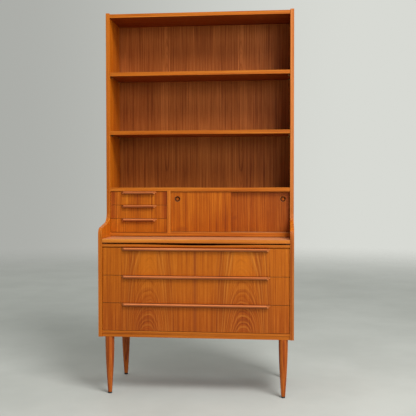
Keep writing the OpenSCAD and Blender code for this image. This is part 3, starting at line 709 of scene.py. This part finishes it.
def build_pull(name, body):
    """A turned finger dish: rounded rim, straight wall and a hollow floor."""
    low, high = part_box(name)
    centre_x, _, centre_z = middle(name)
    r, depth = (high.x - low.x) / 2, high.y - low.y
    wall, floor, soft, back_edge = 0.002, 0.002, 0.0008, 0.0005
    outline = [(0.0, 0.0), (r - back_edge, 0.0), (r, back_edge)]
    outline += rounded(r - soft, depth - soft, soft, 0, 90)
    outline += rounded(r - wall + soft, depth - soft, soft, 90, 180)
    for inset, rise in ((0.0, 0.0030), (0.0006, 0.0016), (0.0022, 0.0007)):
        outline.append((r - wall - inset, floor + rise))
    outline += [(r * 0.45, floor + 0.0002), (0.0, floor)]
    bm = bmesh.new()
    lathe(bm, Vector((0, 0, 0)), outline, steps=56)
    upright = Matrix.Rotation(math.radians(90), 4, "X")
    bm.transform(Matrix.Translation((centre_x, high.y, centre_z)) @ upright)
    place("dished_" + name, bm, "pull", body, "teak_dark", name)


def handle_profile(deep, tall):
    """A lip handle's (y, z) section, from the top edge at the drawer front, all the way round."""
    # Thickness of the lip above the finger hollow
    root = 0.0055
    # Thickness of the nose, and how far its front leans back at the bottom
    nose, back_lean = 0.0038, 0.0036
    # Radii of the nose's lower and upper edges
    lip_r, crown_r = 0.0012, 0.0050
    # Height of the hollow's end above the bottom of the nose
    hollow_end = 0.0006
    hollow_r = tall - root - hollow_end
    foot = -deep + back_lean
    profile = [(0.0, 0.0), (0.0, -root)]
    profile += rounded(foot + nose + hollow_r, -tall + hollow_end, hollow_r, 90, 180, 12)
    profile += rounded(foot + lip_r, lip_r - tall, lip_r, 270, 180, 4)
    return profile + rounded(-deep + crown_r, -crown_r, crown_r, 180, 90, 8)


def build_handle(name, body):
    """A lip handle: flat top, rounded nose, finger hollow, both ends cut back in plan."""
    low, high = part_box(name)
    centre_x = middle(name)[0]
    deep, tall, half = high.y - low.y, high.z - low.z, (high.x - low.x) / 2
    # How far the ends are cut back at the nose, and the width of their rounded rims
    cut, rim = 0.015, 0.0009
    # Rims nearer than this to the drawer front stay sharp
    sharp_back = 0.0008
    profile = handle_profile(deep, tall)
    bm = bmesh.new()
    ends = []
    for side in (-1, 1):
        ends.append([bm.verts.new((centre_x + side * (half - cut * -y / deep), high.y + y, high.z + z))
                     for y, z in profile])
    count = len(profile)
    for i in range(count):
        j = (i + 1) % count
        bm.faces.new((ends[0][i], ends[0][j], ends[1][j], ends[1][i]))
    caps = [bm.faces.new(ends[0]), bm.faces.new(list(reversed(ends[1])))]
    bmesh.ops.remove_doubles(bm, verts=bm.verts, dist=1e-6)
    rims = [edge for edge in bm.edges
            if len(edge.link_faces) == 2 and any(face in caps for face in edge.link_faces)
            and (edge.verts[0].co.y + edge.verts[1].co.y) / 2 < high.y - sharp_back]
    bmesh.ops.bevel(bm, geom=rims, offset=rim, segments=3, affect="EDGES", profile=0.5,
                    clamp_overlap=True)
    # The bevel would stand a little proud of the nose, so its corners are kept in the box
    for vert in bm.verts:
        vert.co.y = max(vert.co.y, low.y)
    place("shaped_" + name, bm, "handle", body, "teak_handle", name)


for leg in LEGS:
    build_leg(leg)
build_glides()
build_pull("door_pull_left", "left_door")
build_pull("door_pull_right", "right_door")
for level in LEVELS:
    build_handle(f"large_drawer_{level}_handle", f"{level}_long_drawer")
    build_handle(f"small_drawer_{level}_handle", f"{level}_small_drawer")


# ---------------------------------------------------------------- stage
def build_floor():
    """A large pale floor that fades into the background far from the desk."""
    radius, fade_start, fade_end = 14.0, 3.0, 9.0
    bm = bmesh.new()
    bmesh.ops.create_circle(bm, cap_ends=True, segments=64, radius=radius)
    mesh = bpy.data.meshes.new("floor")
    bm.to_mesh(mesh)
    bm.free()
    floor = bpy.data.objects.new("floor", mesh)
    bpy.context.scene.collection.objects.link(floor)
    material, g = new_material("floor_pale")
    spot = g.spot()
    far = g.add("ShaderNodeVectorMath", operation="LENGTH")
    g.put(far.inputs[0], spot)
    cloud = g.noise(spot, 4.0, 0.6, 1.6)
    shade = g.add("ShaderNodeBsdfPrincipled")
    pale, paler = rgb(0.52, 0.54, 0.515), rgb(0.58, 0.60, 0.575)
    g.put(shade.inputs["Base Color"], g.mix(g.span(cloud, 0.3, 0.7), pale, paler))
    shade.inputs["Roughness"].default_value = 0.75
    clear = g.add("ShaderNodeBsdfTransparent")
    blend = g.add("ShaderNodeMixShader")
    g.put(blend.inputs[0], g.span(far.outputs["Value"], fade_start, fade_end))
    g.put(blend.inputs[1], shade.outputs[0])
    g.put(blend.inputs[2], clear.outputs[0])
    close(g, blend)
    mesh.materials.append(material)


def area_light(name, place_at, size, power, color):
    """A rectangular lamp that points at the desk's middle."""
    light = bpy.data.lights.new(name, "AREA")
    light.shape = "RECTANGLE"
    light.size, light.size_y = size
    light.energy = power
    light.color = color
    lamp = bpy.data.objects.new(name, light)
    lamp.location = place_at
    lamp.rotation_euler = (Vector(DESK_MIDDLE) - Vector(place_at)).to_track_quat("-Z", "Y").to_euler()
    bpy.context.scene.collection.objects.link(lamp)


def build_world():
    """Pale studio surroundings: brightest overhead, and a little brighter in front than behind.
    The camera sees a plain wall instead, with painted shade that makes it darker at the left."""
    world = bpy.data.worlds.new("studio")
    world.use_nodes = True
    world.node_tree.nodes.clear()
    g = Graph(world.node_tree)
    x, y, z = g.split(g.add("ShaderNodeTexCoord").outputs["Generated"])
    # Painted shade: the seen wall darkens towards the left
    wall = g.span(x, -0.38, 0.10, 0.42, 0.70)
    light = g.span(y, -0.4, 0.6, 0.18, 0.12)
    light = g.plus(light, g.times(g.span(z, 0.30, 0.90), 0.50))
    seen = g.add("ShaderNodeLightPath").outputs["Is Camera Ray"]
    level = g.plus(light, g.times(seen, g.minus(wall, light)))
    sky = g.add("ShaderNodeBackground")
    sky.inputs["Color"].default_value = rgb(0.98, 1.0, 0.94)
    g.put(sky.inputs["Strength"], level)
    g.put(g.add("ShaderNodeOutputWorld").inputs["Surface"], sky.outputs[0])
    bpy.context.scene.world = world


def build_camera():
    """Level with the top of the box that holds the doors, to the right, looking slightly left."""
    yaw, pitch, roll = math.radians(5.948), math.radians(-1.613), math.radians(-0.059)
    forward = Vector((-math.sin(yaw) * math.cos(pitch), math.cos(yaw) * math.cos(pitch), math.sin(pitch)))
    right = Vector((math.cos(yaw), math.sin(yaw), 0.0))
    up = right.cross(forward)
    right_rolled = right * math.cos(roll) + up * math.sin(roll)
    up_rolled = up * math.cos(roll) - right * math.sin(roll)
    data = bpy.data.cameras.new("camera")
    data.sensor_width = 36.0
    data.lens = 63.554
    place_at = (0.4154, CASE_FRONT - 3.3878, 0.9805)
    camera = bpy.data.objects.new("camera", data)
    axes = Matrix((right_rolled, up_rolled, -forward)).transposed()
    camera.matrix_world = Matrix.Translation(place_at) @ axes.to_4x4()
    bpy.context.scene.collection.objects.link(camera)
    bpy.context.scene.camera = camera


DESK_MIDDLE = (0.0, 0.0, 0.9)
WARM = (1.0, 0.985, 0.96)
COOL = (0.98, 0.99, 1.0)

build_floor()
build_world()
area_light("high", (1.9, -2.5, 4.2), (1.8, 1.6), 150.0, WARM)
area_light("front", (2.3, -4.3, 2.35), (2.4, 1.6), 86.0, WARM)
area_light("behind", (-1.2, 4.6, 2.8), (3.0, 2.0), 12.0, COOL)
build_camera()
bpy.context.scene.view_settings.view_transform = "Standard"
